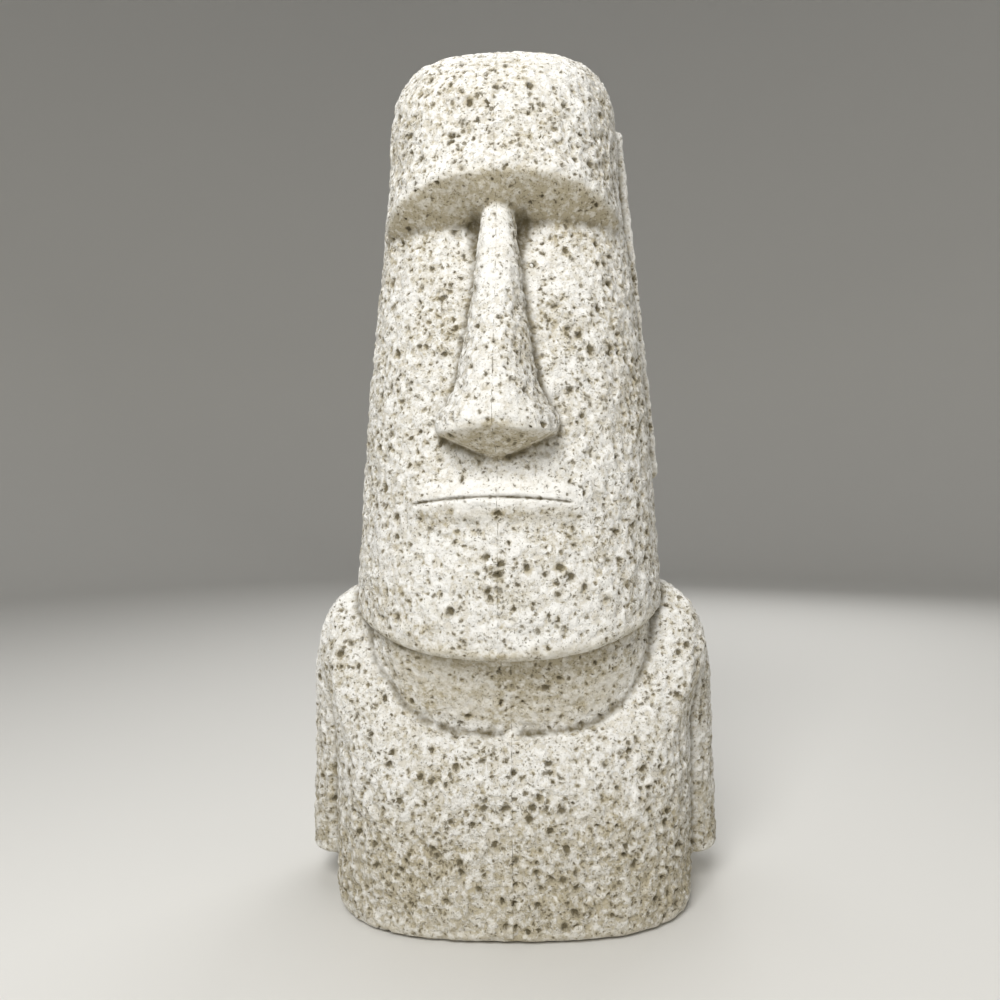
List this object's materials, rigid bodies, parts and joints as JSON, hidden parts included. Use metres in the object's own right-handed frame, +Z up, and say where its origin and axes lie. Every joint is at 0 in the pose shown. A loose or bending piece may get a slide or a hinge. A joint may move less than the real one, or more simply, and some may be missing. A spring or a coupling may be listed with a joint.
{
  "type": "garden moai statue",
  "caption": "One-piece cast-stone statue: a long brow-heavy head on a short torso with straight arms at its sides.",
  "frame": {"origin": "centre of the flat underside", "axes": "+Z up to the crown, -Y towards the viewer the torso faces, +X towards the statue's own left arm"},
  "size_m": [0.3484, 0.2258, 0.6873],
  "materials": {
    "cast_stone": "matte pitted cast stone, cream on the raised skin and olive brown in the pits and hollows"
  },
  "bodies": {
    "root": {"moai_statue": "cast_stone"}
  },
  "joints": []
}
